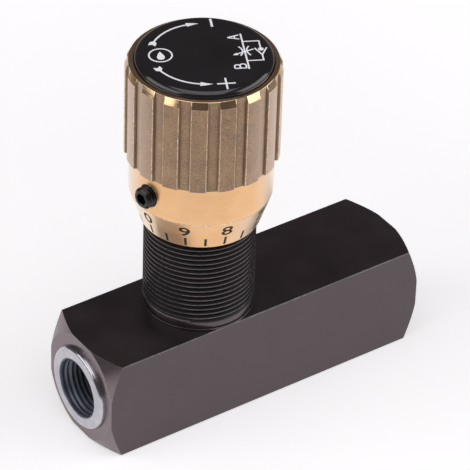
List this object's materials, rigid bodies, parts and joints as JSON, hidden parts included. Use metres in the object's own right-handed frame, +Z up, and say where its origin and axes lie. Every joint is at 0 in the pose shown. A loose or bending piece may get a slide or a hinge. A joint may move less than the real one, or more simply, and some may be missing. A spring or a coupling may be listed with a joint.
{
  "type": "flow control valve",
  "caption": "In-line hydraulic throttle-check valve: square black bar with a port in each end, a threaded neck and a fluted brass-coloured dial knob with a lock screw.",
  "frame": {"origin": "on the bar's underside, on the spindle's axis", "axes": "+Z up the spindle's axis, +X along the port axis to the bar's long end, -Y out of the front face"},
  "size_m": [0.1025, 0.0412, 0.1091],
  "materials": {
    "black_steel": "blackened steel, drawn bar, satin",
    "black_neck": "blackened steel, turned and threaded, semi-gloss",
    "gold_brass": "gold-coloured light alloy: bright turned bands, matt fluted drum",
    "gloss_black": "glossy black disc with white print",
    "zinc_plate": "bright zinc plate on steel",
    "dark_screw": "blackened screw steel",
    "ground_steel": "ground steel",
    "spring_steel": "drawn spring wire",
    "seal_rubber": "nitrile rubber",
    "white_plastic": "off-white seal and pad plastic"
  },
  "bodies": {
    "housing": {"body": "black_steel", "neck": "black_neck", "neck_washer": "zinc_plate", "neck_o_ring": "seal_rubber", "port_sleeve": "zinc_plate", "sleeve_o_ring": "seal_rubber", "sleeve_backup_ring": "white_plastic", "spring_retainer": "ground_steel", "check_spring": "spring_steel"},
    "spindle_seals": {"spindle_o_ring": "seal_rubber", "spindle_backup_ring": "white_plastic"},
    "knob_and_spindle": {"spindle": "ground_steel", "drive_pin": "ground_steel", "knob": "gold_brass", "knob_cap": "gloss_black", "knob_screw": "dark_screw", "knob_washer": "zinc_plate"},
    "lock_pad": {"lock_pad": "white_plastic"},
    "lock_screw": {"grub_screw": "dark_screw"},
    "check_poppet": {"check_poppet": "ground_steel"}
  },
  "joints": [
    {"name": "spindle_lift", "type": "slide", "parent": "housing", "child": "spindle_seals", "axis": [0, 0, 1], "range_m": [-0.007, 0.001]},
    {"name": "knob_turn", "type": "hinge", "parent": "spindle_seals", "child": "knob_and_spindle", "pos_m": [0, 0, 0], "axis": [0, 0, 1], "range_deg": [-2521, 361]},
    {"name": "grub_slide", "type": "slide", "parent": "knob_and_spindle", "child": "lock_pad", "axis": [-0.9866, -0.1633, 0], "range_m": [0, 0.0015]},
    {"name": "grub_turn", "type": "hinge", "parent": "lock_pad", "child": "lock_screw", "pos_m": [-0.02141, -0.00354, 0.073], "axis": [-0.9866, -0.1633, 0], "range_deg": [-1, 541]},
    {"name": "check_lift", "type": "slide", "parent": "housing", "child": "check_poppet", "axis": [-1, 0, 0], "range_m": [0, 0.0035], "stiffness_N_per_m": 800, "springref_m": -0.003, "deforming": ["check_spring"]}
  ],
  "couplings": [
    {"joint": "knob_turn", "follows": "spindle_lift", "rad_per_m": 6283.2},
    {"joint": "grub_turn", "follows": "grub_slide", "rad_per_m": 6283.2}
  ]
}
